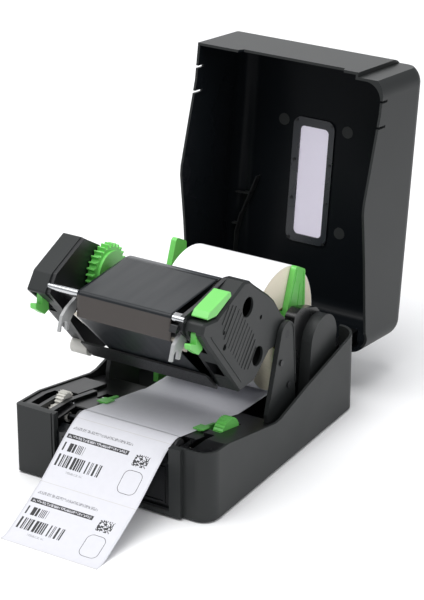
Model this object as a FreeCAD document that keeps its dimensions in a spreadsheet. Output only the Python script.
import FreeCAD, Part
import math
import os

# Thermal label printer, standing open: lid swung back, ribbon mechanism raised, labels hanging out in front.
# Local measures: X from the middle plane, Y from the front face, Z from the lower edge of the housing.

doc = FreeCAD.newDocument("label_printer")
sheet = doc.addObject("Spreadsheet::Sheet", "Sizes")

SIZES = [
    ("width", 204), ("depth", 280), ("foot_height", 2), ("wall", 2.5),
    ("front_height", 68.6), ("rear_height", 80.3), ("valley_height", 49), ("valley_front", 120.3),
    ("valley_rear", 129.8), ("shoulder_y", 36.4), ("step_back", 4.5), ("step_x", 74),
    ("corner", 16), ("mouth_left", -60), ("mouth_right", 62),
    ("lid_height", 164), ("lid_round", 20), ("lid_gap", 0.6), ("lid_open", 96.9),
    ("hinge_back", 7.7), ("hinge_y", "=depth-hinge_back"), ("hinge_z", 53.8), ("hinge_x", 72),
    ("hinge_w", 10),
    ("lift_y", 163), ("lift_z", 119), ("lift_pin", 4),
    ("platen_y", 24.5), ("platen_z", 56), ("platen_r", 8.5), ("platen_shaft", 3),
    ("web_width", 101.6), ("web_x", 5), ("web_t", 0.35), ("reel_r", 60.5), ("reel_gap", 7.5),
    ("reel_y", "=depth-wall-reel_gap-reel_r"), ("reel_z", 98), ("core_r", 19.05), ("core_t", 1.5),
    ("hub_r", 17),
    ("deck_z", 62), ("deck_t", 2.2), ("bay_z", 16), ("module", 1), ("gear_w", 8), ("gear_x", -80),
    ("cover_x", 66), ("cover_w", 18), ("plate_t", 4), ("stand_x", 85), ("stand_t", 4),
    ("box_x", -95), ("box_w", 19), ("take_y", 99.3), ("take_z", 170), ("feed_y", 117.4), ("feed_z", 114.3),
    ("spindle_r", 5), ("ribbon_hub", 12.7), ("take_r", 20), ("feed_r", 16), ("film_w", 98), ("film_t", 0.25),
    ("shaft_y", 22.5), ("shaft_z", 183.5), ("shaft_r", 3), ("bar_y", 86), ("bar_z", 96), ("bar_r", 2.5),
    ("cap_r", 8),
    ("fit", 0.05), ("clearance", 0.4), ("wheel_x", 68), ("wheel_y", 79), ("wheel_z", 49), ("wheel_r", 17),
    ("wheel_w", 10), ("screw_r", 2.5),
    ("nose_y", 20), ("nose_z", 163.2), ("nose_r", 1.5), ("window_left", -31), ("window_right", 3),
    ("window_front", 85.5), ("window_rear", 200.5),
    ("hook_y", 30), ("hook_z", 169), ("lift_angle", 37),
    ("origin_y", 153.08),
]
for row, (alias, value) in enumerate(SIZES, start=1):
    sheet.set("A%d" % row, alias)
    sheet.set("B%d" % row, str(value))
    sheet.setAlias("B%d" % row, alias)
doc.recompute()


class Values:
    """Every driving size of the sheet as a plain number."""


s = Values()
for alias, _ in SIZES:
    setattr(s, alias, float(getattr(sheet, alias)))

V = FreeCAD.Vector
BASE = FreeCAD.Placement(V(0, -s.origin_y, s.foot_height), FreeCAD.Rotation())
LID = BASE.multiply(FreeCAD.Placement(V(), FreeCAD.Rotation(V(1, 0, 0), -s.lid_open),
                                      V(0, s.hinge_y, s.hinge_z)))
nodes = {}


def register(obj, name):
    obj.Label = name
    nodes[name] = obj
    return obj


def new_body(name, place=BASE):
    body = doc.addObject("PartDesign::Body", name)
    body.AllowCompound = True
    body.Placement = place
    return body


def origin_plane(body, role):
    return next(f for f in body.Origin.OriginFeatures if f.Role == role)


def add_loop(sketch, loop):
    """A closed outline: ('circle', u, v, r), or corner points, each (u, v) or (u, v, corner radius)."""
    if loop[0] == "circle":
        sketch.addGeometry(Part.Circle(V(loop[1], loop[2], 0), V(0, 0, 1), loop[3]), False)
        return
    count = len(loop)
    starts, ends, arcs = [], [], []
    for i, corner in enumerate(loop):
        here = V(corner[0], corner[1], 0)
        radius = corner[2] if len(corner) > 2 else 0
        if not radius:
            starts.append(here)
            ends.append(here)
            arcs.append(None)
            continue
        before = (V(loop[i - 1][0], loop[i - 1][1], 0) - here).normalize()
        after = (V(loop[(i + 1) % count][0], loop[(i + 1) % count][1], 0) - here).normalize()
        half = before.getAngle(after) / 2
        reach = radius / math.tan(half)
        middle = here + (before + after).normalize() * (radius / math.sin(half) - radius)
        starts.append(here + before * reach)
        ends.append(here + after * reach)
        arcs.append(middle)
    for i in range(count):
        if arcs[i] is not None:
            sketch.addGeometry(Part.Arc(starts[i], arcs[i], ends[i]), False)
        if ends[i].distanceToPoint(starts[(i + 1) % count]) > 1e-6:
            sketch.addGeometry(Part.LineSegment(ends[i], starts[(i + 1) % count]), False)


def add_sketch(body, name, role, loops, offset):
    sketch = body.newObject("Sketcher::SketchObject", name)
    sketch.AttachmentSupport = (origin_plane(body, role), [""])
    sketch.MapMode = "FlatFace"
    sketch.setExpression("AttachmentOffset.Base.z", str(offset))
    for loop in loops:
        add_loop(sketch, loop)
    return sketch


def extrude(body, kind, name, role, loops, offset, length, reverse=False):
    """Pad or pocket of outlines on an origin plane shifted by an offset along its normal."""
    sketch = add_sketch(body, name + "_outline", role, loops, offset)
    feature = body.newObject("PartDesign::" + kind, name)
    feature.Profile = sketch
    feature.setExpression("Length", str(length))
    feature.Reversed = reverse
    body.Tip = feature
    return feature


def across(body, name, loops, x0, length):
    """Material of a side outline (Y, Z) running along X."""
    return extrude(body, "Pad", name, "YZ_Plane", loops, x0, length)


def carve_across(body, name, loops, x0, length):
    """Hollow of a side outline (Y, Z) running along +X from x0."""
    return extrude(body, "Pocket", name, "YZ_Plane", loops, x0, length, True)


def carve_up(body, name, loops, z0, length):
    """Hollow of a plan outline (X, Y) rising from z0."""
    return extrude(body, "Pocket", name, "XY_Plane", loops, z0, length, True)


def carve_front(body, name, loops, y0, length):
    """Hollow of a front outline (X, Z) running along +Y from y0."""
    return extrude(body, "Pocket", name, "XZ_Plane", loops, "-(%s)" % y0, length)


def slab(name, loops, x0, length, place=BASE):
    body = new_body(name, place)
    across(body, name + "_slab", loops, x0, length)
    return register(body, name)


def upright(name, loops, z0, length, place=BASE):
    """A plan outline (X, Y) raised from z0."""
    body = new_body(name, place)
    extrude(body, "Pad", name + "_rise", "XY_Plane", loops, z0, length)
    return register(body, name)


def box(x0, y0, x1, y1):
    return [(x0, y0), (x1, y0), (x1, y1), (x0, y1)]


def disc(y, z, r):
    return ("circle", y, z, r)


def ring(y, z, outer, inner):
    return [disc(y, z, outer), disc(y, z, inner)]


def ribbon(points, thickness):
    """Closed outline of a sheet lying on the left of a run of points."""
    side = []
    for i, (a, b) in enumerate(points):
        tangents = []
        if i:
            tangents.append(V(a - points[i - 1][0], b - points[i - 1][1], 0).normalize())
        if i < len(points) - 1:
            tangents.append(V(points[i + 1][0] - a, points[i + 1][1] - b, 0).normalize())
        normals = [V(-t.y, t.x, 0) for t in tangents]
        if len(normals) == 1:
            shift = normals[0]
        else:
            total = normals[0] + normals[1]
            shift = total * (2 / total.Length ** 2)
        side.append((a + shift.x * thickness, b + shift.y * thickness))
    return list(points) + side[::-1]


def arc(y, z, r, start, stop, steps):
    angles = [math.radians(start + (stop - start) * i / steps) for i in range(steps + 1)]
    return [(y + r * math.cos(a), z + r * math.sin(a)) for a in angles]


def gear_loop(y, z, teeth, phase, module=s.module):
    """Spur gear outline: tooth of 0.72 pitch half at the pitch circle, centred on the phase angle."""
    pitch = module * teeth / 2
    tip = pitch + 0.75 * module
    root = pitch - 1.05 * module
    step = 2 * math.pi / teeth
    points = []
    for i in range(teeth):
        middle = math.radians(phase) + i * step
        for radius, share in ((root, -0.27), (tip, -0.1), (tip, 0.1), (root, 0.27)):
            a = middle + share * step
            points.append((y + radius * math.cos(a), z + radius * math.sin(a)))
    return points


def group(name, members):
    """Alike solids that share one node."""
    compound = doc.addObject("Part::Compound", name)
    compound.Links = members
    return register(compound, name)


def drum(name, place, y, z, r, x0, length, axis="x"):
    """A plain round piece: along X at (y, z), or upright at x = x0 with its foot at z."""
    piece = doc.addObject("Part::Cylinder", name)
    piece.Radius = r
    piece.Height = length
    turn = FreeCAD.Rotation(V(0, 1, 0), 90) if axis == "x" else FreeCAD.Rotation()
    piece.Placement = place.multiply(FreeCAD.Placement(V(x0, y, z), turn))
    return piece


def pick_edges(shape, test):
    found = []
    for i, edge in enumerate(shape.Edges, start=1):
        middle = edge.valueAt((edge.FirstParameter + edge.LastParameter) / 2)
        if test(edge, middle):
            found.append("Edge%d" % i)
    return found


def blend(body, name, radius, test):
    doc.recompute()
    last = body.Tip
    feature = body.newObject("PartDesign::Fillet", name)
    feature.Base = (last, pick_edges(last.Shape, test))
    feature.setExpression("Radius", radius)
    body.Tip = feature
    doc.recompute()
    return feature


def bevel(body, name, size, test):
    doc.recompute()
    last = body.Tip
    feature = body.newObject("PartDesign::Chamfer", name)
    feature.Base = (last, pick_edges(last.Shape, test))
    feature.Size = size
    body.Tip = feature
    doc.recompute()
    return feature


def near(value, target):
    return abs(value - target) < 0.05


half = s.width / 2
skin = s.wall

# The upper edge of the housing falls to a valley at mid depth; the lid's rim follows the same points.
rim = [
    (s.step_back, s.front_height), (s.shoulder_y, s.front_height - 1.9), (s.valley_front, s.valley_height),
    (s.valley_rear, s.valley_height), (s.valley_rear + 50, s.valley_height + 11.6), (s.depth, s.rear_height),
]

# Base housing: open-topped moulding, left and middle of the front standing proud of the right corner.
base = new_body("base_housing")
across(base, "base_block", [[(s.step_back, 0), (s.depth, 0)] + rim[::-1]], "-Sizes.width/2", "Sizes.width")
across(base, "base_proud", [[(0, 0), (s.step_back, 0), rim[0], (0, s.front_height)]],
       "-Sizes.width/2", "Sizes.width/2+Sizes.step_x")
blend(base, "base_right_corners", "Sizes.corner",
      lambda e, m: near(m.x, half) and (near(m.y, s.step_back) or near(m.y, s.depth)) and e.Length > 30
      and near(e.Vertexes[0].X, e.Vertexes[-1].X) and near(e.Vertexes[0].Y, e.Vertexes[-1].Y))
blend(base, "base_left_corners", "Sizes.wall",
      lambda e, m: near(m.x, -half) and (near(m.y, 0) or near(m.y, s.depth)) and e.Length > 30
      and near(e.Vertexes[0].Y, e.Vertexes[-1].Y) and abs(e.Vertexes[0].Z - e.Vertexes[-1].Z) > 30)
inner_r = s.corner - skin
well_front = s.step_back + skin
carve_up(base, "base_well", [[(-half + skin, well_front), (half - skin, well_front, inner_r),
                              (half - skin, s.depth - skin, inner_r), (-half + skin, s.depth - skin)]],
         "Sizes.wall", 120)
carve_front(base, "base_mouth", [box(s.mouth_left, 5, s.mouth_right, 100)], "-1",
            "2+Sizes.step_back+Sizes.wall")
carve_front(base, "base_step_groove", [box(s.mouth_left - 3.2, 2, s.mouth_left - 2, 100)], "-1", "2.2")
tongue_gap = s.hinge_w + 2 * 0.6
slots = [box(x - 0.6, 34, x - 0.6 + tongue_gap, 120) for x in (s.hinge_x, -s.hinge_x - s.hinge_w)]
carve_front(base, "base_hinge_slots", slots, "Sizes.depth-Sizes.wall-1", 6)
ports = [box(-84, 9, -62, 23), [(-46, 10), (-34, 10), (-34, 20), (-46, 20)], box(-22, 9, -9.6, 20)]
carve_front(base, "base_ports", ports, "Sizes.depth-Sizes.wall-1", 6)
board_z = 8
board_holes = [(-22, 62), (58, 62), (-22, 134), (58, 134)]
extrude(base, "Pad", "board_posts", "XY_Plane", [("circle", x, y, 3) for x, y in board_holes],
        "Sizes.wall-0.2",
        board_z - skin + 0.2)
register(base, "base_housing")

feet = [drum("foot_%d" % i, BASE, y, -s.foot_height, 8, x, s.foot_height, "z")
        for i, (x, y) in enumerate([(-82, 24), (82, 24), (-82, 256), (82, 256)])]
group("rubber_feet", feet)

# Recessed panel of the mouth with a raised frame and a lip for the labels.
panel = new_body("front_panel")
across(panel, "panel_sheet", [[(4, 5), (6.6, 5), (6.6, 47.5), (13.2, 53), (13.2, 55), (8.4, 53.6), (4, 50)]],
       "Sizes.mouth_left+Sizes.clearance", "Sizes.mouth_right-Sizes.mouth_left-2*Sizes.clearance")
extrude(panel, "Pad", "panel_frame", "XZ_Plane",
        [box(-54, 9, 56, 46), box(-52, 11, 54, 44)], "-4", 1)
register(panel, "front_panel")

# Inner deck: flat behind the front, sloping with the housing edge, then the floor of the roll bay.
deck_path = [(s.step_back + skin + s.clearance, s.deck_z), (s.shoulder_y, s.deck_z),
             (s.valley_front - 2, s.valley_height - 4.7), (s.valley_rear + 8, s.valley_height - 9),
             (150, s.bay_z), (s.depth - 55, s.bay_z), (s.depth - 30, s.bay_z + 18),
             (s.depth - 14, s.bay_z + 18),
             (s.depth - skin - s.clearance - 2, 44)]
deck_sheet = ribbon(deck_path[::-1], s.deck_t)
deck = new_body("inner_deck")
across(deck, "deck_sheet", [deck_sheet], "-(Sizes.width/2-Sizes.wall-Sizes.clearance)",
       "2*(Sizes.width/2-Sizes.wall-Sizes.clearance)")


def deck_height(y):
    """Height of the deck's upper face at the front and over the slope."""
    (y0, z0), (y1, z1) = deck_path[1:3]
    return z0 + (z1 - z0) * max(y - y0, 0) / (y1 - y0)


def deck_under(y):
    """Height of the deck's lower face over the slope."""
    (y0, z0), (y1, z1) = deck_path[1:3]
    return deck_height(y) - s.deck_t * math.hypot(z1 - z0, y1 - y0) / (y1 - y0)


rib = [(12, skin), (112, skin), (112, deck_under(112) + 0.6), (s.shoulder_y, deck_under(s.shoulder_y) + 0.6),
       (12, s.deck_z - 0.6)]
idler_teeth, platen_teeth, middle_teeth, pinion_teeth = 19, 12, 36, 12
pitch = s.module / 2
idler_angle = 17
pin_r = 2


def next_centre(y, z, distance, angle):
    return y + distance * math.cos(math.radians(angle)), z + distance * math.sin(math.radians(angle))


idler_y, idler_z = next_centre(s.platen_y, s.platen_z, pitch * (platen_teeth + idler_teeth), idler_angle)
middle_y, middle_z = next_centre(idler_y, idler_z, pitch * (idler_teeth + middle_teeth), -60)
motor_half = 17.5
motor_reach = pitch * (middle_teeth + pinion_teeth)
motor_angle = -math.degrees(math.asin((middle_z - skin - motor_half) / motor_reach))
motor_y, motor_z = next_centre(middle_y, middle_z, motor_reach, motor_angle)
bush_r = 4.7
rib_left = -64
rib_right = 64.6
across(deck, "deck_rib_left", [rib, disc(s.platen_y, s.platen_z - 1, bush_r), disc(motor_y, motor_z, 7)],
       rib_left, 2)
across(deck, "deck_rib_right", [rib, disc(s.platen_y, s.platen_z - 1, bush_r)], rib_right, 2)
bay_rear = s.depth - 56
bay_leg = [(152, skin), (bay_rear, skin), (bay_rear, s.bay_z - s.deck_t + 0.5),
           (152, s.bay_z - s.deck_t + 0.5)]
across(deck, "deck_leg_left", [bay_leg], -92, 2)
across(deck, "deck_leg_right", [bay_leg], 70, 2)
stand_slot = [box(x, 127, x + s.stand_t + 2 * s.clearance, 181)
              for x in (s.stand_x - s.clearance, -s.stand_x - s.stand_t - s.clearance)]
hook_slots = [box(-93, 12, -85, 50), box(69, 12, 77, 50)]
gear_slot = [box(s.gear_x - 0.8, 13, s.gear_x + s.gear_w + 0.8, idler_y + pitch * (idler_teeth + 2) + 3.5)]
wheel_hole = [box(s.wheel_x - 0.8, s.wheel_y - s.wheel_r - 1, s.wheel_x + s.wheel_w + 0.8,
                  s.wheel_y + s.wheel_r + 1)]
guide_slots = [box(-61, 70, -45.4, 88), box(55.4, 70, 66, 88)]
mouth_cut = [box(-59.5, 2, 64, s.platen_y + s.platen_r + 1.4)]
carve_up(deck, "deck_openings", stand_slot + hook_slots + gear_slot + wheel_hole + guide_slots + mouth_cut,
         8, 90)
hinge_cut = [box(s.hinge_x - 4.5, s.hinge_y - 20, half, s.depth),
             box(-half, s.hinge_y - 20, 4.5 - s.hinge_x, s.depth)]
round_y, round_x = s.step_back + s.corner, half - s.corner
corner_cut = [(x, y) for y, x in arc(round_y, round_x, inner_r - s.clearance, 180, 90, 8)]
corner_cut += [(half, round_y), (half, s.step_back), (round_x, s.step_back)]
carve_up(deck, "deck_hinge_cuts", hinge_cut, 4, 90)
carve_up(deck, "deck_corner_cut", [corner_cut], 4, 90)
carve_across(deck, "deck_screw_bores", [disc(s.wheel_y, s.wheel_z, s.screw_r + s.fit)], rib_left - 1,
             s.wheel_x + s.wheel_w - rib_left + 4)
carve_across(deck, "deck_pin_grooves", [disc(idler_y, idler_z, pin_r + 0.6)], s.gear_x - 2,
             rib_left - s.gear_x + 2)
register(deck, "inner_deck")

# Raised shoulders of the deck beside the mouth: blocks round the hook slots, the gear slot and the wheel.


def shoulder_top(y):
    """Height of the shoulders: a little under the housing edge."""
    front, bend, end = deck_path[0][0], s.shoulder_y, 106
    if y < bend:
        return s.front_height - 1.5 - 1.6 * (y - front) / (bend - front)
    return s.front_height - 3.1 + (s.valley_height + 1.8 - s.front_height + 3.1) * (y - bend) / (end - bend)


shoulder_end = half - skin - s.clearance
shoulders = []
for x0, x1, y0, y1 in ((-shoulder_end, -93.2, 7.4, 106), (-93.2, -84.8, 7.4, 12), (-93.2, -84.8, 50, 106),
                       (-84.8, -80.9, 7.4, 106), (-71.1, -66, 7.4, 80), (-80.9, -73, 58, 106),
                       (67.6, 79.2, 7.4, 12), (67.6, 79.2, 50, 60.5), (79.2, 84, 7.4, 106),
                       (67.6, 79.2, 97.5, 106)):
    steps = [y0] + ([s.shoulder_y] if y0 < s.shoulder_y < y1 else []) + [y1]
    profile = [(y, deck_height(y) + 0.02) for y in steps] + [(y, shoulder_top(y)) for y in steps[::-1]]
    block = new_body("shoulder_%d" % len(shoulders))
    across(block, "shoulder_block_%d" % len(shoulders), [profile], x0 + 0.01, x1 - x0 - 0.02)
    if x0 < s.gear_x and x1 > s.gear_x - 2 and y0 < idler_y or x0 > s.gear_x and x1 < 0:
        carve_across(block, "shoulder_pin_%d" % len(shoulders), [disc(idler_y, idler_z, pin_r + 0.6)],
                     x0 - 1, x1 - x0 + 2)
    shoulders.append(block)
corner_block = new_body("shoulder_corner")
across(corner_block, "shoulder_corner_block", [[(y, deck_height(y) + 0.02) for y in (7.4, s.shoulder_y, 106)]
                                               + [(y, shoulder_top(y)) for y in (106, s.shoulder_y, 7.4)]],
       84.01, shoulder_end - 84.01)
carve_up(corner_block, "shoulder_corner_cut", [list(corner_cut)], 4, 90)
shoulders.append(corner_block)
group("deck_shoulders", shoulders)

# Platen and its gear train on the left.
roller_left = s.web_x - 54
slab("platen_roller", ring(s.platen_y, s.platen_z, s.platen_r, s.platen_shaft), roller_left, 107)
slab("platen_shaft", [disc(s.platen_y, s.platen_z, s.platen_shaft)], "Sizes.gear_x-2", 150.5)
bush = [disc(s.platen_y, s.platen_z - 1, bush_r), disc(s.platen_y, s.platen_z, s.platen_shaft + s.fit)]
bushings = new_body("platen_bushings")
across(bushings, "bushing_left", [list(bush[0]), list(bush[1])], rib_left - 1, 5)
across(bushings, "bushing_right", [list(bush[0]), list(bush[1])], rib_right - 2, 5)
register(bushings, "platen_bushings")


def mesh_phase(phase, teeth, other, angle):
    """Phase that sets a gap of the next gear on the line of centres where this gear has its tooth."""
    step, other_step = 360 / teeth, 360 / other
    offset = (angle - phase) % step
    return angle + 180 + offset * other_step / step + other_step / 2


idler_phase = mesh_phase(2, platen_teeth, idler_teeth, idler_angle)
middle_phase = mesh_phase(idler_phase, idler_teeth, middle_teeth, -60)
pinion_phase = mesh_phase(middle_phase, middle_teeth, pinion_teeth, motor_angle)
slab("platen_gear", [gear_loop(s.platen_y, s.platen_z, platen_teeth, 2),
                     disc(s.platen_y, s.platen_z, s.platen_shaft)], "Sizes.gear_x", "Sizes.gear_w")
slab("idler_gear", [gear_loop(idler_y, idler_z, idler_teeth, idler_phase),
                    disc(idler_y, idler_z, pin_r + s.fit)],
     "Sizes.gear_x", "Sizes.gear_w")
slab("middle_gear", [gear_loop(middle_y, middle_z, middle_teeth, middle_phase),
                     disc(middle_y, middle_z, pin_r + s.fit)], "Sizes.gear_x", "Sizes.gear_w")
pinion = slab("motor_pinion", [gear_loop(motor_y, motor_z, pinion_teeth, pinion_phase)], "Sizes.gear_x",
              "Sizes.gear_w")
across(pinion, "motor_shaft", [disc(motor_y, motor_z, 2.5)], "Sizes.gear_x", rib_left + 1.6 - s.gear_x)
pins = new_body("gear_pins")
across(pins, "gear_pin_shafts", [disc(idler_y, idler_z, pin_r), disc(middle_y, middle_z, pin_r)],
       "Sizes.gear_x-1.5", rib_left - s.gear_x + 1.5)
register(pins, "gear_pins")
slab("motor_bracket", [box(motor_y - 21, skin, motor_y + 21, motor_z + 21), disc(motor_y, motor_z, 11)],
     rib_left + 2, 2)
motor = new_body("stepper_motor")
square = [(motor_y - motor_half, motor_z - motor_half, 3), (motor_y + motor_half, motor_z - motor_half, 3),
          (motor_y + motor_half, motor_z + motor_half, 3), (motor_y - motor_half, motor_z + motor_half, 3)]
across(motor, "motor_can", [square], rib_left + 4, 26)
across(motor, "motor_boss", [disc(motor_y, motor_z, 10.6)], rib_left + 2, 2.1)
register(motor, "stepper_motor")

# Electronics under the deck and at the rear.
upright("main_board", [box(-26, 58, 62, 138)] + [("circle", x, y, 1.6) for x, y in board_holes], board_z, 1.6)
chips = new_body("board_components")
extrude(chips, "Pad", "chip_low", "XY_Plane", [box(0, 80, 16, 96), box(26, 76, 38, 92),
                                               box(-18, 108, -6, 126)],
        board_z + 1.6, 2.4)
extrude(chips, "Pad", "chip_tall", "XY_Plane", [("circle", 46, 112, 5), ("circle", 34, 112, 5),
                                                box(4, 110, 20, 128)],
        board_z + 1.6, 12)
register(chips, "board_components")
sockets = new_body("rear_sockets")
extrude(sockets, "Pad", "power_case", "XZ_Plane", [box(-45.7, 10, -34.3, 19.7), ("circle", -40, 15, 3)],
        "-Sizes.depth", 13)
extrude(sockets, "Pad", "data_case", "XZ_Plane", [box(-21.7, 9, -9.9, 19.7), box(-19.8, 11, -11.8, 17.7)],
        "-Sizes.depth", 14)
register(sockets, "rear_sockets")
bezel = new_body("switch_bezel")
extrude(bezel, "Pad", "bezel_ring", "XZ_Plane", [box(-83.7, 9, -62.3, 22.7), box(-81.5, 11.2, -64.5, 20.5)],
        "-Sizes.depth-1", 14, False)
register(bezel, "switch_bezel")
rocker_y = s.depth - 7
rocker = slab("power_rocker", [[(rocker_y - 3, 13), (rocker_y + 6, 11.9), (rocker_y + 8.4, 15.85),
                                (rocker_y + 6.4, 19.8),
                       (rocker_y - 3, 18.7)]], -81.1, 16.2)
across(rocker, "rocker_pins", [disc(rocker_y + 4, 15.85, 1.2)], -81.4, 16.8)

# Label web: table, mouth, platen, deck, roll.


def tangent(y0, z0, y1, z1, r):
    """Touching point on a circle of a line from a point, on the lower side."""
    reach = math.hypot(y1 - y0, z1 - z0)
    lean = math.atan2(z1 - z0, y1 - y0) - math.asin(r / reach)
    run = math.sqrt(reach ** 2 - r ** 2)
    return y0 + run * math.cos(lean), z0 + run * math.sin(lean)


web_rest = s.platen_z + s.platen_r + 0.35
floor = -s.foot_height
slope_end = (deck_path[2][0], deck_path[2][1] + 0.7)
last = (deck_path[3][0], deck_path[3][1] + 1.0)
web_path = [(-106, floor + 0.1), (-100, floor + 0.15), (-93, floor + 2.0), (-84, 4.2), (-70, 11.0),
            (-55, 19.0),
            (-40, 27.2), (-25, 37.4), (-12, 46.8), (0, 55.0), (7, 59.2), (13, 62.2), (18, 63.9),
            (s.platen_y - 2, web_rest), (s.platen_y + 2, web_rest), (s.platen_y + 6, web_rest - 0.8),
            (s.shoulder_y, s.deck_z + 0.5), slope_end, last,
            tangent(last[0], last[1], s.reel_y, s.reel_z, s.reel_r + 0.3 + s.web_t)]
web_left = s.web_x - s.web_width / 2
slab("label_strip", [ribbon(web_path, s.web_t)], "Sizes.web_x-Sizes.web_width/2", "Sizes.web_width")
core_out = s.core_r + s.core_t
slab("label_roll", ring(s.reel_y, s.reel_z, s.reel_r, core_out), "Sizes.web_x-Sizes.web_width/2",
     "Sizes.web_width")
slab("roll_core", ring(s.reel_y, s.reel_z, core_out, s.core_r), "Sizes.web_x-Sizes.web_width/2",
     "Sizes.web_width")
arm = [(s.reel_y + y, z, r) for y, z, r in
       ((-18.5, s.bay_z + 0.3, 0), (14.5, s.bay_z + 0.3, 0), (24, 60, 8), (36, 100, 8), (36, 147, 4),
        (18, 157, 4),
        (2.5, 118, 8), (-13.5, 60, 0))]
hub_in = 12
for side, x0, hub_x in (("right", web_left + s.web_width + 0.5, web_left + s.web_width + 0.5 - hub_in),
                        ("left", web_left - 29.8, web_left - 24.3)):
    holder = new_body("roll_holder_" + side)
    across(holder, "holder_arm_" + side, [arm], x0, 5.6)
    hub_len = hub_in + 0.1 if side == "right" else hub_in + 24.2
    across(holder, "holder_hub_" + side, [disc(s.reel_y, s.reel_z, s.hub_r)], hub_x, hub_len)
    register(holder, "roll_holder_" + side)

# Label guides on a cross screw turned by the thumb wheel.
guide_y0, guide_y1 = 58, 72


fence = [(guide_y0, deck_height(guide_y0) + 0.35), (86, deck_height(86) + 0.35), (86, deck_height(86) + 2.2),
         (guide_y1, deck_height(guide_y1) + 2.6), (guide_y0, deck_height(guide_y0) + 2.6)]
flange = [(guide_y0, deck_height(guide_y0) + 1.4), (guide_y1, deck_height(guide_y1) + 1.4),
          (guide_y1, deck_height(guide_y1) + 2.6), (guide_y0, deck_height(guide_y0) + 2.6)]
nut = [(s.wheel_y - 6, s.wheel_z - 6), (s.wheel_y + 6, s.wheel_z - 6), (s.wheel_y + 6, deck_height(85) + 1.5),
       (s.wheel_y - 6, deck_height(73) + 1.5)]
for side, fence_x, flange_x in (("right", web_left + s.web_width + 0.5, web_left + s.web_width - 4.2),
                                ("left", web_left - 3.5, web_left - 6.2)):
    guide = new_body("label_guide_" + side)
    across(guide, "guide_nut_" + side, [nut, disc(s.wheel_y, s.wheel_z, s.screw_r + s.fit)], fence_x, 3)
    across(guide, "guide_fence_" + side, [fence], fence_x, 3)
    across(guide, "guide_flange_" + side, [flange], flange_x, 10.4)
    register(guide, "label_guide_" + side)
slab("guide_screw", [disc(s.wheel_y, s.wheel_z, s.screw_r)], rib_left - 1,
     s.wheel_x + s.wheel_w - rib_left + 3)
knurl = []
for i in range(30):
    turn = math.radians(12 * i)
    for radius, shift in ((s.wheel_r - 0.8, -0.04), (s.wheel_r, 0.0), (s.wheel_r - 0.8, 0.04)):
        knurl.append((s.wheel_y + radius * math.cos(turn + shift),
                      s.wheel_z + radius * math.sin(turn + shift)))
slab("guide_wheel", [knurl, disc(s.wheel_y, s.wheel_z, s.screw_r)], "Sizes.wheel_x", "Sizes.wheel_w")

# Uprights that carry the lift hinge, and the block beside the roll.
crown = 12.5
stand = [(128, skin), (180, skin), (180, 52), (177, 108)] + arc(s.lift_y, s.lift_z, crown, 10, 170, 16) \
    + [(146, 108), (141, 92), (128, 50)]
hole = disc(s.lift_y, s.lift_z, s.lift_pin)
stands = new_body("upright_stands")
for side, x0 in (("right", s.stand_x), ("left", -s.stand_x - s.stand_t)):
    across(stands, "stand_" + side, [stand, hole], x0, "Sizes.stand_t")
register(stands, "upright_stands")
screws = [drum("stand_screw_%d" % i, BASE, y, z, 3, x, 1.4)
          for i, (x, y, z) in enumerate([(s.stand_x + s.stand_t, 152, 94), (s.stand_x + s.stand_t, 166, 66),
                                         (-s.stand_x - s.stand_t - 1.4, 152, 94),
                                         (-s.stand_x - s.stand_t - 1.4, 166, 66)])]
group("stand_screws", screws)
lift_pins = [
    drum("lift_pin_right", BASE, s.lift_y, s.lift_z, s.lift_pin, s.cover_x - s.plate_t,
         s.stand_x + s.stand_t - s.cover_x + s.plate_t),
    drum("lift_pin_left", BASE, s.lift_y, s.lift_z, s.lift_pin, -s.stand_x - s.stand_t,
         s.stand_x + s.stand_t - 72),
]
block_rear = s.depth - 21
slab("bay_side_block", [[(s.reel_y - 20.5, s.bay_z), (s.depth - 55, s.bay_z), (s.depth - 30, s.bay_z + 18),
                         (block_rear, s.bay_z + 18), (block_rear, 84, 6), (s.reel_y + 25.5, 116, 12),
                         (s.reel_y - 5.5, 127, 8), (s.reel_y - 17.5, 124, 6), (s.reel_y - 20.5, 112)]],
     70.5, 10.5)

# Lid: shell of a rounded block whose rim follows the housing edge.
lid_rim = [(0, s.front_height + s.lid_gap)] + [(y, z + s.lid_gap) for y, z in rim[1:]]
outer = new_body("lid_outer", LID)
across(outer, "lid_block", [lid_rim + [(s.depth, s.lid_height), (0, s.lid_height)]], "-Sizes.width/2",
       "Sizes.width")


def lid_edges(top, front, rear, right, left):
    def test(edge, middle):
        on_top = near(middle.z, top) and (near(middle.y, front) or near(middle.y, rear) or near(middle.x,
                                                                                                right)
                                          or near(middle.x, left))
        upright_edge = near(middle.x, right) and (near(middle.y, front) or near(middle.y,
                                                                                rear)) and middle.z < top - 1
        return on_top or upright_edge
    return test


blend(outer, "lid_rounding", "Sizes.lid_round", lid_edges(s.lid_height, 0, s.depth, half, -half))
inner = new_body("lid_inner", LID)
lid_front = s.step_back + skin
across(inner, "lid_room", [[(lid_front, 20), (s.depth - skin, 20), (s.depth - skin, s.lid_height - skin),
                            (lid_front, s.lid_height - skin)]], "-Sizes.width/2+Sizes.wall",
       "Sizes.width-2*Sizes.wall")
blend(inner, "lid_room_rounding", "Sizes.lid_round-Sizes.wall",
      lid_edges(s.lid_height - skin, lid_front, s.depth - skin, half - skin, -half + skin))
across(inner, "lid_front_room", [[(skin, 20), (lid_front + 1, 20),
                                  (lid_front + 1, s.lid_height - s.lid_round - 1),
                                  (skin, s.lid_height - s.lid_round - 1)]], -half + skin,
       half - skin + s.step_x - skin)
mouth = new_body("lid_cuts", LID)
extrude(mouth, "Pad", "lid_mouth", "XZ_Plane", [[(s.mouth_left, 60), (s.mouth_right, 60),
                                                 (s.mouth_right - 6, 76),
                                                 (s.mouth_left + 6, 76)]], "1", 10, True)
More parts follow.
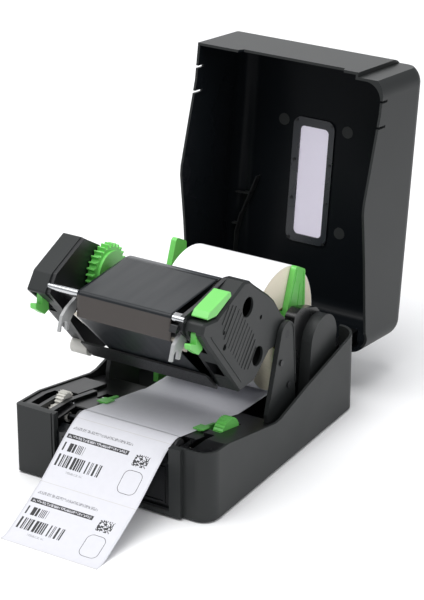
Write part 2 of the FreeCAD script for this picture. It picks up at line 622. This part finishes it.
extrude(mouth, "Pad", "lid_step", "XZ_Plane", [box(s.step_x, 60, half + 2, s.lid_height - 2)], "1",
        "1+Sizes.step_back", True)
extrude(mouth, "Pad", "lid_window_hole", "XY_Plane", [box(s.window_left, s.window_front, s.window_right,
                                                          s.window_rear)],
        "Sizes.lid_height-Sizes.wall-2", 8)
snap = [box(22.6, 55, 25, 78.6), box(47.2, 50, 49.6, 78.6)]
across(mouth, "lid_snap_right", snap, half - 4, 6)
across(mouth, "lid_snap_left", snap, -half - 2, 6)
sweep_r = math.hypot(s.depth - s.hinge_y, s.rear_height - s.hinge_z) + 0.6
across(mouth, "lid_swing_room", [disc(s.hinge_y, s.hinge_z, sweep_r)], -half - 1, s.width + 2)
tools = doc.addObject("Part::MultiFuse", "lid_hollows")
tools.Shapes = [inner, mouth]
lid = doc.addObject("Part::Cut", "lid")
lid.Base = outer
lid.Tool = tools
register(lid, "lid")
frame = new_body("window_frame", LID)
extrude(frame, "Pad", "frame_ring", "XY_Plane",
        [[(s.window_left - 7, s.window_front - 8, 9), (s.window_right + 5.5, s.window_front - 8, 9),
          (s.window_right + 5.5, s.window_rear + 7, 9), (s.window_left - 7, s.window_rear + 7, 9)],
         [(s.window_left + 0.8, s.window_front + 0.8, 5), (s.window_right - 0.8, s.window_front + 0.8, 5),
          (s.window_right - 0.8, s.window_rear - 0.8, 5), (s.window_left + 0.8, s.window_rear - 0.8, 5)]],
        "Sizes.lid_height-Sizes.wall-2", 2)
register(frame, "window_frame")
upright("lid_window", [box(s.window_left + 0.2, s.window_front + 0.2, s.window_right - 0.2,
                           s.window_rear - 0.2)],
        "Sizes.lid_height-Sizes.wall", 2.3, LID)
pin_rows = [s.window_front - 4, s.window_front + 37, s.window_front + 77, s.window_rear + 4]
pin_heads = [drum("window_screw_%d" % i, LID, y, s.lid_height - skin - 2.8, 1.6, x, 0.8, "z")
             for i, (x, y) in enumerate([(x, y) for y in pin_rows for x in (s.window_left - 3.4,
                                                                            s.window_right + 2.6)])]
group("window_screws", pin_heads)
tongue = [(s.hinge_y - 10, s.hinge_z + 46), (s.depth - skin, s.hinge_z + 46),
          (s.depth - skin, s.hinge_z + 29),
          (s.hinge_y + 4.6, s.hinge_z + 27)] + arc(s.hinge_y, s.hinge_z, 6.5, 40, -220,
                                                   26) + [(s.hinge_y - 7, s.hinge_z + 27)]
pin_out = 2.5
arms = new_body("lid_hinge_arms", LID)
across(arms, "tongue_right", [tongue, disc(s.hinge_y, s.hinge_z, pin_out + s.fit)], "Sizes.hinge_x",
       "Sizes.hinge_w")
across(arms, "tongue_left", [tongue, disc(s.hinge_y, s.hinge_z, pin_out + s.fit)],
       "-Sizes.hinge_x-Sizes.hinge_w",
       "Sizes.hinge_w")
register(arms, "lid_hinge_arms")
bracket_rear = s.depth - skin - 0.05
bracket = [(s.hinge_y - 10.3, 32), (bracket_rear, 26), (bracket_rear, 58), (s.hinge_y, 62),
           (s.hinge_y - 8.3, 60)]
brackets = new_body("hinge_brackets")
bracket_hole = disc(s.hinge_y, s.hinge_z, pin_out)
for i, x0 in enumerate((s.hinge_x - 3.4, s.hinge_x + s.hinge_w + 0.5, -s.hinge_x + 0.8,
                        -s.hinge_x - s.hinge_w - 2.9)):
    across(brackets, "hinge_bracket_%d" % i, [bracket, bracket_hole], x0, 2.4)
register(brackets, "hinge_brackets")
hinge_pins = [
    drum("hinge_pin_right", BASE, s.hinge_y, s.hinge_z, pin_out, s.hinge_x - 3.4, s.hinge_w + 6.3),
    drum("hinge_pin_left", BASE, s.hinge_y, s.hinge_z, pin_out, -s.hinge_x - s.hinge_w - 2.9,
         s.hinge_w + 6.1),
]
group("hinge_pins", lift_pins + hinge_pins)

# Ribbon mechanism, drawn raised.


def raised(y, z):
    """Where a point of the closed mechanism lies once it is swung up about the lift hinge."""
    turn = math.radians(s.lift_angle)
    dy, dz = y - s.lift_y, z - s.lift_z
    return (s.lift_y + dy * math.cos(turn) + dz * math.sin(turn),
            s.lift_z - dy * math.sin(turn) + dz * math.cos(turn))


spindle_hole = s.spindle_r + s.fit
take_hole = disc(s.take_y, s.take_z, spindle_hole)
feed_hole = disc(s.feed_y, s.feed_z, spindle_hole)
lift_hole = disc(s.lift_y, s.lift_z, s.lift_pin + s.fit)
shaft_hole = disc(s.shaft_y, s.shaft_z, s.shaft_r)
bar_hole = disc(s.bar_y, s.bar_z, s.bar_r)
right_side = [(25.8, 182.2, 3.5), (46.6, 179), (93.8, 196.2, 3.5), (103.9, 193.7, 3.5), (112.5, 186.3),
              (138.7, 166.3),
              (149.4, 156.4, 3), (167.9, 131, 2), (112, 91.2, 4), (85.6, 91.4, 4), (32.2, 158, 4),
              (21.1, 173.2, 4)]
ear = [(140, 112), (156, 111)] + arc(s.lift_y, s.lift_z, 9, -70, 30, 8) + [(166, 134), (150, 146)]
plate = [(22, 187.5, 2), (46.6, 189), (93.8, 196.2, 3), (103.9, 193.7, 3), (112.5, 186.3), (138.7, 166.3),
         (149.4, 156.4, 3), (166.5, 134)] + arc(s.lift_y, s.lift_z, 9, 20, -80, 8) \
    + [(112, 91.2, 2), (85.6, 91.4, 2), (33.8, 159.2, 3), (17.5, 174, 3)]
right_plate = slab("right_side_plate", [plate, take_hole, feed_hole, lift_hole, bar_hole],
                   "Sizes.cover_x-Sizes.plate_t", "Sizes.plate_t")
carve_across(right_plate, "right_shaft_seat", [shaft_hole], s.cover_x - s.plate_t - 1, s.plate_t + 2)
across(right_plate, "plate_nose", [[(16.6, 181, 1), (12, 174, 1), (20.5, 173.4), (26, 178.6), (18, 178.6)]],
       s.cover_x - s.plate_t - 6.5, 7)
cover = new_body("right_cover")
across(cover, "cover_block", [right_side], "Sizes.cover_x", "Sizes.cover_w")
across(cover, "cover_ear", [ear], "Sizes.cover_x", "Sizes.cover_w")
cover_face = s.cover_x + s.cover_w
bevel(cover, "cover_bevel", 2, lambda e, m: near(m.x, cover_face) and m.y < 125 and near(e.BoundBox.XLength,
                                                                                         0))
room = [(30, 178.4), (46.6, 175.8), (93, 192.6), (102, 190.6), (110.5, 183), (136.8, 163.8), (146.6, 154.6),
        (163, 131.6), (110, 93.2), (86, 93.4), (35, 158), (26, 172)]
carve_across(cover, "cover_room", [room], "Sizes.cover_x", "Sizes.cover_w-Sizes.wall")
carve_across(cover, "cover_bores", [lift_hole], "Sizes.cover_x-1", "Sizes.cover_w+2")
big_r = 9.5
carve_across(cover, "cover_holes", [disc(s.take_y, s.take_z, big_r), disc(s.feed_y, s.feed_z, big_r),
                                    disc(122.8, 151, 2.2), disc(57.9, 161.6, 2), disc(59, 147.1, 3)],
             cover_face - 4, 6)
along, step = V(0.67, 0.75, 0), V(0.607, -0.795, 0)
grooves = []
for i in range(-3, 4):
    middle = V(84, 147, 0) + step * (6.2 * i)
    ends = [middle - along * 17, middle + along * 17]
    grooves.append([(ends[0].x, ends[0].y), (ends[0].x + 0.6, ends[0].y - 0.8),
                    (ends[1].x + 0.6, ends[1].y - 0.8),
                    (ends[1].x, ends[1].y)])
carve_across(cover, "cover_grooves", grooves, cover_face - 0.7, 3)
hook_room = [(8, 146), (46, 146), (40, 174.5), (8, 174.5)]
carve_across(cover, "cover_hook_room", [hook_room], "Sizes.cover_x+3", 8)
wheel_up = raised(s.wheel_y, s.wheel_z)
carve_across(cover, "cover_wheel_relief", [disc(wheel_up[0], wheel_up[1], s.wheel_r + 1.2)], "Sizes.cover_x",
             "Sizes.wheel_w+3.5")
carve_up(cover, "cover_stem_hole", [box(71.6, 43.6, 76.4, 50.4)], 168, 30)
register(cover, "right_cover")
left_plate = [(29, 193.2, 2), (74, 211, 2), (98, 196, 4), (112, 150, 6), (148, 138)] \
    + arc(s.lift_y, s.lift_z, 11, 80, -100, 12) \
    + [(112, 91.4, 2), (83, 91.4, 2), (33, 160, 3), (22, 173, 1.5), (17.5, 178.5, 1)]
left_side = slab("left_side_plate", [left_plate, take_hole, feed_hole, lift_hole, bar_hole],
                 "Sizes.box_x+Sizes.box_w",
                 "Sizes.plate_t")
carve_across(left_side, "left_shaft_seat", [shaft_hole], s.box_x + s.box_w - 1, s.plate_t + 2)
box_side = [(74, 212, 2), (26.5, 193.5, 3), (14.8, 178.5, 2), (20.7, 172.5, 1.5), (36, 158, 3), (87, 98, 3),
            (101, 109, 3), (112, 150, 6), (98, 196, 4)]
box_room = [(73.6, 209), (28.5, 191.3), (17.8, 178.8), (23, 174.2), (38.4, 159.4), (87.4, 101.6),
            (98.8, 110.4), (109, 150), (96, 194.4)]
gear_cover = new_body("left_gear_cover")
across(gear_cover, "gear_cover_block", [box_side], "Sizes.box_x", "Sizes.box_w")
carve_across(gear_cover, "gear_cover_room", [box_room], "Sizes.box_x+Sizes.wall", "Sizes.box_w")
carve_across(gear_cover, "gear_cover_hook_room", [[(8, 146), (48, 146), (40, 176.5), (8, 176.5)]],
             "Sizes.box_x+2", 8)
carve_across(gear_cover, "gear_cover_cap_room", [disc(s.bar_y, s.bar_z, s.cap_r + s.clearance)],
             "Sizes.box_x-1", "Sizes.box_w+1")
register(gear_cover, "left_gear_cover")
inner_left = s.box_x + s.box_w + s.plate_t
inner_right = s.cover_x - s.plate_t
slab("cross_frame", [[(34, 172.5), (50, 157), (90, 121.8), (93, 125.3), (53, 161.5), (37.5, 175.5)]],
     inner_left, inner_right - inner_left)
head_left, head_right = s.web_x - 53, s.web_x + 53
slab("heat_sink", [[(22.5, 164.6), (40.5, 147), (50, 157), (34, 172.5)]], head_left, head_right - head_left)
slab("printhead", [[(19.0, 163.4), (20.2, 162.0), (38, 144.6), (40.5, 147), (22.5, 164.6)]], head_left,
     head_right - head_left)
shaft_x = s.box_x + s.box_w
front_shaft = drum("front_shaft", BASE, s.shaft_y, s.shaft_z, s.shaft_r, shaft_x,
                   inner_right + s.plate_t - shaft_x)
lower_bar = slab("lower_bar", [bar_hole], s.box_x + 1, inner_right + s.plate_t - s.box_x - 1)
across(lower_bar, "film_guard", [[(64.4, 112.9), (84.5, 92), (82.7, 90.2), (63.1, 111.6)]], inner_left,
       inner_right - inner_left)
slab("bar_end_cap", [disc(s.bar_y, s.bar_z, s.cap_r), disc(s.bar_y, s.bar_z, s.bar_r)], "Sizes.box_x+0.5",
     "Sizes.box_w-0.5")
seat_y, seat_z = 14.5, 152
down, side_way = V(-0.217, -0.976, 0), V(0.976, -0.217, 0)
seat_r, seat_leg = s.platen_shaft + 1.6, 7.2


def at_seat(along_down, across_seat):
    return (seat_y + along_down * down.x + across_seat * side_way.x,
            seat_z + along_down * down.y + across_seat * side_way.y)


fork = [at_seat(4.5, -seat_leg), at_seat(4.5, -seat_r)] \
    + [at_seat(-seat_r * math.sin(math.radians(a)), -seat_r * math.cos(math.radians(a))) for a in range(0,
                                                                                                        181,
                                                                                                        20)] \
    + [at_seat(4.5, seat_r), at_seat(4.5, seat_leg), (24, 154), (39.8, 166.6), (33.9, 172.3), (20, 168),
       at_seat(-10, -5)]
forks = new_body("shaft_forks")
for side, x0, thick in (("left", head_left - 10, 3), ("right", head_right + 0.6, 3.4)):
    across(forks, "fork_" + side, [fork], x0, thick)
register(forks, "shaft_forks")
hook = [(25.5, 172.5, 2), (34, 172.5, 2), (34.5, 160), (35, 153, 1.5), (28, 150.8, 1.5), (14.8, 161, 1),
        (14.8, 166, 1),
        (24.5, 162)]
hook_pin = 1.5
hooks = new_body("latch_hooks")
for side, x0 in (("right", s.cover_x + 4), ("left", s.box_x + 3)):
    across(hooks, "hook_" + side, [hook, disc(s.hook_y, s.hook_z, hook_pin + s.fit)], x0, 6)
register(hooks, "latch_hooks")
group("mechanism_rods", [front_shaft,
                         drum("hook_pin_right", BASE, s.hook_y, s.hook_z, hook_pin, s.cover_x + 3, 8),
                         drum("hook_pin_left", BASE, s.hook_y, s.hook_z, hook_pin, s.box_x + 2, 8)])
button = new_body("release_button")
across(button, "button_cap", [[(30, 184.4, 1), (46.6, 182.2), (72, 191.4, 1), (70.4, 196.6, 2),
                               (36, 189.8, 3)]],
       s.cover_x + 1, 16)
extrude(button, "Pad", "button_stem", "XY_Plane", [box(72, 44, 76, 50)], 172, 12)
register(button, "release_button")
take_teeth, take_module = 28, 1.86
takeup = slab("takeup_gear", [gear_loop(s.take_y, s.take_z, take_teeth, 0, take_module),
                              disc(s.take_y, s.take_z, s.spindle_r)], inner_left + 1, 8)
across(takeup, "takeup_hub", ring(s.take_y, s.take_z, 21, s.spindle_r), inner_left + 8.9, 3)
spindle_x = s.box_x + s.box_w
spindle_len = s.cover_x + 9 - spindle_x
core_x, core_len = s.web_x - 56, 112
for name, y, z, r in (("takeup", s.take_y, s.take_z, s.take_r), ("supply", s.feed_y, s.feed_z, s.feed_r)):
    slab(name + "_spindle", [disc(y, z, s.spindle_r)], spindle_x, spindle_len)
    slab(name + "_core", ring(y, z, s.ribbon_hub, s.spindle_r), core_x, core_len)
    slab(name + "_roll", ring(y, z, r, s.ribbon_hub), s.web_x - s.film_w / 2, "Sizes.film_w")


def belt(rounds):
    """Run of points on the outside of a chain of circles, counter-clockwise from the first to the last."""
    points = []
    normals = []
    for (y0, z0, r0), (y1, z1, r1) in zip(rounds, rounds[1:]):
        reach = math.hypot(y1 - y0, z1 - z0)
        heading = math.atan2(z1 - z0, y1 - y0)
        normals.append(heading - math.acos((r0 - r1) / reach))
    y, z, r = rounds[0]
    points.append((y + r * math.cos(normals[0]), z + r * math.sin(normals[0])))
    for i, (y, z, r) in enumerate(rounds[1:-1]):
        start = math.degrees(normals[i])
        sweep = (math.degrees(normals[i + 1]) - start) % 360
        points += arc(y, z, r, start, start + sweep, 5)
    y, z, r = rounds[-1]
    points.append((y + r * math.cos(normals[-1]), z + r * math.sin(normals[-1])))
    return points


gap = 0.3
film_path = belt([(s.take_y, s.take_z, s.take_r + gap), (s.shaft_y, s.shaft_z, s.shaft_r + gap),
                  (s.nose_y, s.nose_z, s.nose_r), (s.bar_y, s.bar_z, s.bar_r + gap),
                  (s.feed_y, s.feed_z, s.feed_r + gap)])
slab("ribbon_film", [ribbon(film_path[::-1], s.film_t)], s.web_x - s.film_w / 2, "Sizes.film_w")

doc.recompute()
problems = []
for obj in doc.Objects:
    if "Invalid" in obj.State or "Error" in obj.State:
        problems.append(obj.Name)
for name, obj in nodes.items():
    shape = obj.Shape
    if shape.isNull() or not shape.isValid() or not shape.Solids:
        problems.append(name)
if problems:
    raise RuntimeError("faulty pieces: " + ", ".join(problems))
os.makedirs("parts", exist_ok=True)
for name, obj in nodes.items():
    obj.Shape.exportStep("parts/%s.step" % name)
    bb = obj.Shape.BoundBox
    print("%-20s solids %d volume %9.1f  X %.1f..%.1f Y %.1f..%.1f Z %.1f..%.1f" % (
        name, len(obj.Shape.Solids), obj.Shape.Volume, bb.XMin, bb.XMax, bb.YMin, bb.YMax, bb.ZMin, bb.ZMax))
